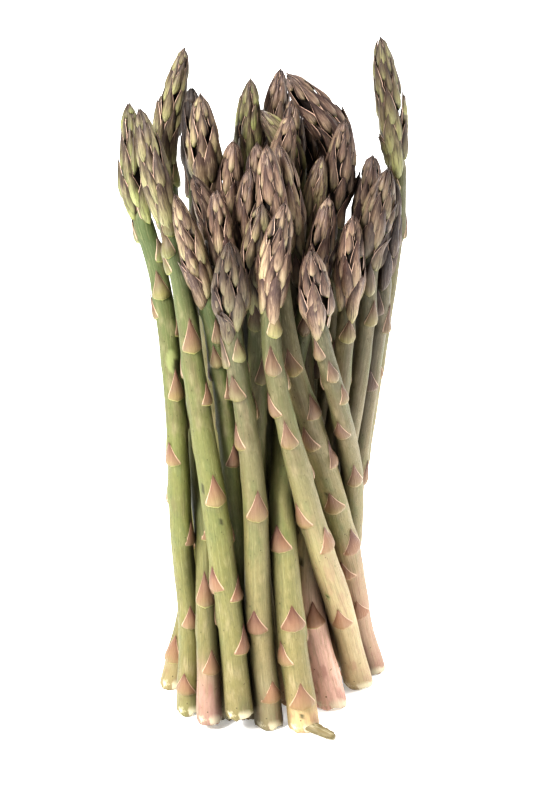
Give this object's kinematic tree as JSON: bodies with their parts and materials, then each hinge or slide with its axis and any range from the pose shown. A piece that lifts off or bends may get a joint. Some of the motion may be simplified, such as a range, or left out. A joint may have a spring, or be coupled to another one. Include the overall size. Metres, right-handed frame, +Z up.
{
  "type": "bundle of asparagus",
  "caption": "Bunch of fresh green asparagus standing on its cut ends, spread like a lightly twisted sheaf, with scaled stems and purple-brown tips.",
  "frame": {"origin": "on the surface that the bunch stands on, under the middle of its bounding box", "axes": "+Z up along the bunch, +X to the right and +Y to the back as seen from its front"},
  "size_m": [0.1051, 0.096, 0.251],
  "materials": {
    "skin_green": "satin skin of a fresh green spear, olive green below and deeper green under the head",
    "skin_olive": "satin skin of a fresh spear, yellow-olive with a browner head",
    "skin_tan": "satin skin of a fresh spear, beige-olive to pinkish, with a purple-brown head"
  },
  "bodies": {
    "root": {"spear_01": "skin_green", "spear_02": "skin_green", "spear_03": "skin_green", "spear_04": "skin_green", "spear_05": "skin_olive", "spear_06": "skin_olive", "spear_07": "skin_tan", "spear_08": "skin_tan", "spear_09": "skin_tan", "spear_10": "skin_tan", "spear_11": "skin_tan", "spear_12": "skin_tan", "spear_13": "skin_tan", "spear_14": "skin_olive", "spear_15": "skin_olive", "spear_16": "skin_olive", "spear_17": "skin_olive", "spear_18": "skin_olive", "spear_19": "skin_olive", "spear_20": "skin_green", "spear_21": "skin_green", "spear_22": "skin_olive", "spear_23": "skin_tan", "spear_24": "skin_olive", "spear_25": "skin_tan", "spear_26": "skin_green", "spear_27": "skin_tan", "spear_28": "skin_tan", "spear_29": "skin_tan", "spear_30": "skin_tan", "spear_31": "skin_olive", "spear_32": "skin_tan"}
  },
  "joints": []
}
